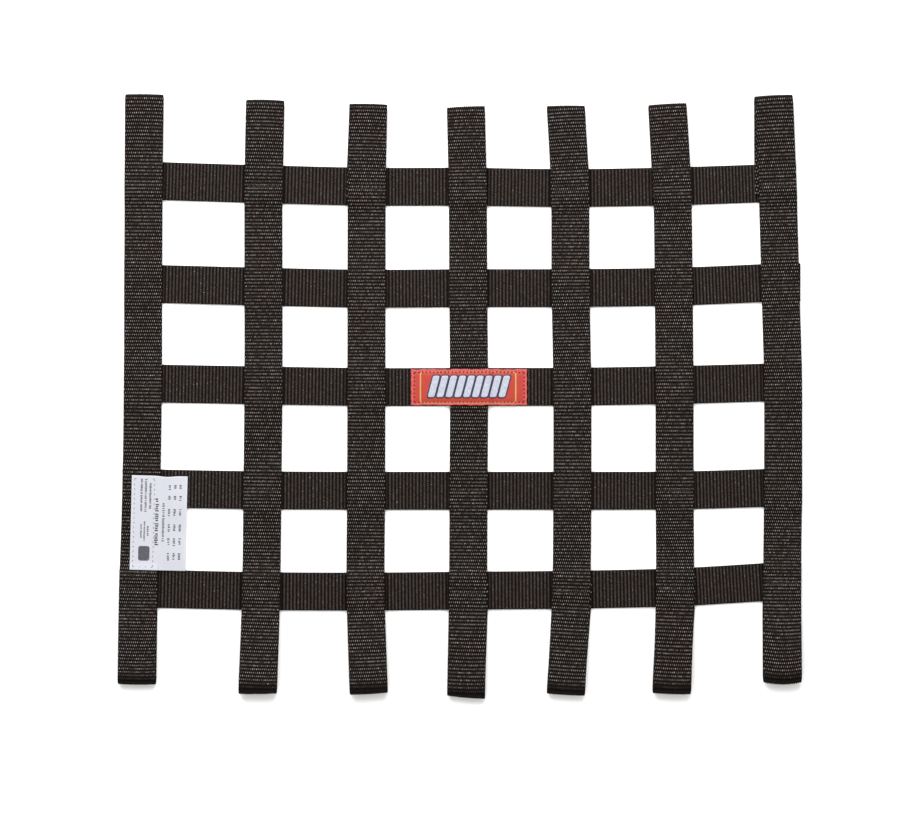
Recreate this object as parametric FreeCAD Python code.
import FreeCAD, Part
import math
import os

# Ribbon window net of 25 mm webbing, laid out flat. Millimetres.
# X runs across the net, Y up it, Z up from the surface that it lies on.
# The origin is under the middle of the whole net.

# Webbing
web_width = 25.0        # width of every strap
web_thick = 1.5         # thickness of the webbing
layer_gap = 0.1         # daylight between the two layers of a folded end

# Grid, from strap centreline to strap centreline
first_bay = 80.5        # upright strap 1 to upright strap 2
inner_bay = 67.4        # each of the bays in the middle
inner_bays = 4
last_bay = 72.3         # upright strap 6 to upright strap 7
row_pitch = 66.4        # cross strap to cross strap
rows = 5
top_reach = 54.8        # top cross strap's centreline to the end of the loops above it
bottom_reach = 66.2     # bottom cross strap's centreline to the end of the loops below it

# Folded ends of the upright straps
rod_radius = 4.8        # inside of the open fold, round a 9.5 mm rod
tail_past = 7.5         # the folded tail's end, past the cross strap's centreline
step_lead = 1.0         # level webbing before a step
step_run = 4.0          # length of a step from one layer's height to the next
step_bend = 5.0         # bend radius at each end of a step

# Flex lines, where the cross straps bend between two upright straps
flex_gap = 0.3          # clearance between the two webbing ends on a flex line

# Seams
seam_margin = 2.0       # upright strap's edge to the end of a seam
seam_width = 1.0
seam_height = 0.25      # the thread stands this far out of the webbing
seam_pair = 3.0         # spacing of the two seams that close a folded end

# Name patch, over the middle crossing
patch_width = 76.0
patch_height = 23.5
patch_thick = 0.6
patch_column = 4
patch_row = 3
patch_seam_inset = 1.8  # edge of the patch to the outside of its seam

# Date label, on the first upright strap
label_column = 1
label_row = 4
label_width = 36.5
label_thick = 0.4
label_inset = 5.8       # strap's outer edge to the label's edge
label_above = 8.2       # label's top edge above the cross strap's centreline
label_clear = 1.2       # label's bottom edge to the step in the strap below it
label_seam_inset = 1.5  # edge of the label to the outside of its seam
label_seam_edge = 4.0   # strap's inner edge to the outside of the label's seam

# Levels of the webbing's mid-plane
cross_level = web_thick / 2
upright_level = cross_level + web_thick
front_level = upright_level + web_thick + layer_gap

fold_radius = rod_radius + web_thick / 2       # mid-plane of the fold
step_start = web_width / 2 + step_lead         # from a cross strap's centreline
rise_start = tail_past + step_lead + step_run  # where the front layer starts to climb over a tail

# Strap positions
bays = [first_bay] + [inner_bay] * inner_bays + [last_bay]
columns = len(bays) + 1
column_x = [sum(bays[:i]) - sum(bays) / 2 for i in range(columns)]
length = top_reach + (rows - 1) * row_pitch + bottom_reach
row_y = [length / 2 - top_reach - i * row_pitch for i in range(rows)]
label_bottom = row_y[label_row] + rise_start + label_clear


def unit(a, b):
    d = math.dist(a, b)
    return (b[0] - a[0]) / d, (b[1] - a[1]) / d


def side_edges(points, offset, place):
    """Edges of a bent strip's side: the path's lines and arcs, moved sideways by offset."""
    edges = []
    here = None
    for i, (u, w, radius) in enumerate(points):
        d_in = unit(points[i - 1][:2], (u, w)) if i else unit((u, w), points[1][:2])
        d_out = unit((u, w), points[i + 1][:2]) if i < len(points) - 1 else d_in
        turn = math.atan2(d_in[0] * d_out[1] - d_in[1] * d_out[0], d_in[0] * d_out[0] + d_in[1] * d_out[1])
        reach = radius * math.tan(abs(turn) / 2)
        start = (u - d_in[0] * reach - d_in[1] * offset, w - d_in[1] * reach + d_in[0] * offset)
        stop = (u + d_out[0] * reach - d_out[1] * offset, w + d_out[1] * reach + d_out[0] * offset)
        if here and math.dist(here, start) > 1e-6:
            edges.append(Part.LineSegment(place(*here), place(*start)).toShape())
        if reach > 0:
            hand = math.copysign(1, turn)
            side = radius * hand
            centre = (u - d_in[0] * reach - d_in[1] * side, w - d_in[1] * reach + d_in[0] * side)
            out = unit(centre, (u, w))
            size = radius - offset * hand
            middle = (centre[0] + out[0] * size, centre[1] + out[1] * size)
            edges.append(Part.Arc(place(*start), place(*middle), place(*stop)).toShape())
        here = stop
    return edges


def strip_face(points, low, high, place):
    """Section of a bent strip: from low to high beside a path of (u, w, bend radius)."""
    left = side_edges(points, high, place)
    right = side_edges(points, low, place)
    start = Part.LineSegment(right[0].firstVertex().Point, left[0].firstVertex().Point).toShape()
    stop = Part.LineSegment(left[-1].lastVertex().Point, right[-1].lastVertex().Point).toShape()
    return Part.Face(Part.Wire(left + [stop] + right[::-1] + [start]))


def fold_points(row, end):
    """Path of a folded end, from the tail's cut end round the fold to the front layer's lower level."""
    out = math.copysign(1, end - row)
    inside = row + out * step_start
    tip = end - out * web_thick / 2
    fold_y = tip - out * fold_radius
    fold_z = cross_level + fold_radius
    rise, run = fold_z - front_level, abs(fold_y - inside)
    slope = math.atan2(rise, run) + math.asin(fold_radius / math.hypot(rise, run))
    return [
        (row - out * tail_past, upright_level, 0),
        (inside, upright_level, step_bend),
        (inside + out * step_run, cross_level, step_bend),
        (tip, cross_level, fold_radius),
        (tip, front_level + abs(tip - inside) * math.tan(slope), fold_radius),
        (inside, front_level, step_bend),
        (row - out * (tail_past + step_lead), front_level, step_bend),
        (row - out * rise_start, upright_level, step_bend),
    ]


def upright_strap(x):
    path = fold_points(row_y[0], length / 2) + fold_points(row_y[-1], -length / 2)[::-1]
    half = web_thick / 2
    section = strip_face(path, -half, half, lambda y, z: FreeCAD.Vector(x - web_width / 2, y, z))
    return section.extrude(FreeCAD.Vector(web_width, 0, 0))


def fixed_half(column):
    """Half of the width that can't bend at an upright strap."""
    return patch_width / 2 if column + 1 == patch_column else web_width / 2


def flex_x(column):
    """The flex line to the right of a column, midway between what is fixed on each side."""
    left = column_x[column] + fixed_half(column)
    right = column_x[column + 1] - fixed_half(column + 1)
    return (left + right) / 2


def cross_span(column, y):
    """A column's own stretch of a cross strap. Its right end is round about the flex line."""
    first, last = column == 0, column == columns - 1
    left = column_x[0] - web_width / 2 if first else flex_x(column - 1) + web_thick / 2 + flex_gap
    right = column_x[-1] + web_width / 2 if last else flex_x(column)
    span = Part.makeBox(right - left, web_width, web_thick, FreeCAD.Vector(left, y - web_width / 2, 0))
    if not last:
        base = FreeCAD.Vector(right, y - web_width / 2, cross_level)
        span = span.fuse(Part.makeCylinder(web_thick / 2, web_width, base, FreeCAD.Vector(0, 1, 0)))
    return span.removeSplitter()


def seam(x, y, top):
    long = web_width - 2 * seam_margin
    corner = FreeCAD.Vector(x - long / 2, y - seam_width / 2, top)
    return Part.makeBox(long, seam_width, seam_height, corner)


def stitching(column):
    """Two seams close each folded end, and one holds each crossing that nothing covers."""
    seams = []
    for row, y in enumerate(row_y):
        if row in (0, rows - 1):
            top = front_level + web_thick / 2
            seams += [seam(column_x[column], y + side * seam_pair / 2, top) for side in (-1, 1)]
        elif (column + 1, row + 1) not in ((patch_column, patch_row), (label_column, label_row)):
            seams.append(seam(column_x[column], y, upright_level + web_thick / 2))
    return Part.makeCompound(seams)


def over_crossing(low, high, width, height):
    """A layer over the middle upright strap that steps down to the cross strap on each side."""
    x, y = column_x[patch_column - 1], row_y[patch_row - 1]
    half = [
        (step_start, 2 * web_thick, step_bend),
        (step_start + step_run, web_thick, step_bend),
        (width / 2, web_thick, 0),
    ]
    path = [(x - u, w, r) for u, w, r in half[::-1]] + [(x + u, w, r) for u, w, r in half]
    section = strip_face(path, low, high, lambda u, w: FreeCAD.Vector(u, y - height / 2, w))
    return section.extrude(FreeCAD.Vector(0, height, 0))


def patch_seam():
    outer_width, outer_height = patch_width - 2 * patch_seam_inset, patch_height - 2 * patch_seam_inset
    ring = over_crossing(patch_thick, patch_thick + seam_height, outer_width, outer_height)
    inner_width, inner_height = outer_width - 2 * seam_width, outer_height - 2 * seam_width
    x, y = column_x[patch_column - 1], row_y[patch_row - 1]
    corner = FreeCAD.Vector(x - inner_width / 2, y - inner_height / 2, 0)
    return ring.cut(Part.makeBox(inner_width, inner_height, front_level + fold_radius, corner))


def label_plate(left, right, bottom, top, base, thick):
    return Part.makeBox(right - left, top - bottom, thick, FreeCAD.Vector(left, bottom, base))


left_edge = column_x[label_column - 1] - web_width / 2 + label_inset
top_edge = row_y[label_row - 1] + label_above
label_base = upright_level + web_thick / 2


def date_label():
    return label_plate(left_edge, left_edge + label_width, label_bottom, top_edge, label_base, label_thick)


def label_seam():
    left = left_edge + label_seam_inset
    bottom, top = label_bottom + label_seam_inset, top_edge - label_seam_inset
    right = column_x[label_column - 1] + web_width / 2 - label_seam_edge
    base = label_base + label_thick
    ring = label_plate(left, right, bottom, top, base, seam_height)
    inner = (left + seam_width, right - seam_width, bottom + seam_width, top - seam_width)
    return ring.cut(label_plate(*inner, base, seam_height))


def model():
    nodes = {}
    for column, x in enumerate(column_x):
        nodes[f"upright_strap_{column + 1}"] = upright_strap(x)
        nodes[f"stitching_{column + 1}"] = stitching(column)
        for row, y in enumerate(row_y):
            nodes[f"cross_strap_{row + 1}_span_{column + 1}"] = cross_span(column, y)
    nodes["name_patch"] = over_crossing(0, patch_thick, patch_width, patch_height)
    nodes["name_patch_thread"] = patch_seam()
    nodes["date_label"] = date_label()
    nodes["date_label_thread"] = label_seam()
    return nodes


os.makedirs("parts", exist_ok=True)
for name, shape in model().items():
    if not shape.isValid():
        raise ValueError(f"{name} is not a valid solid")
    shape.exportStep(f"parts/{name}.step")
    print(name, len(shape.Solids), round(shape.Volume, 2))
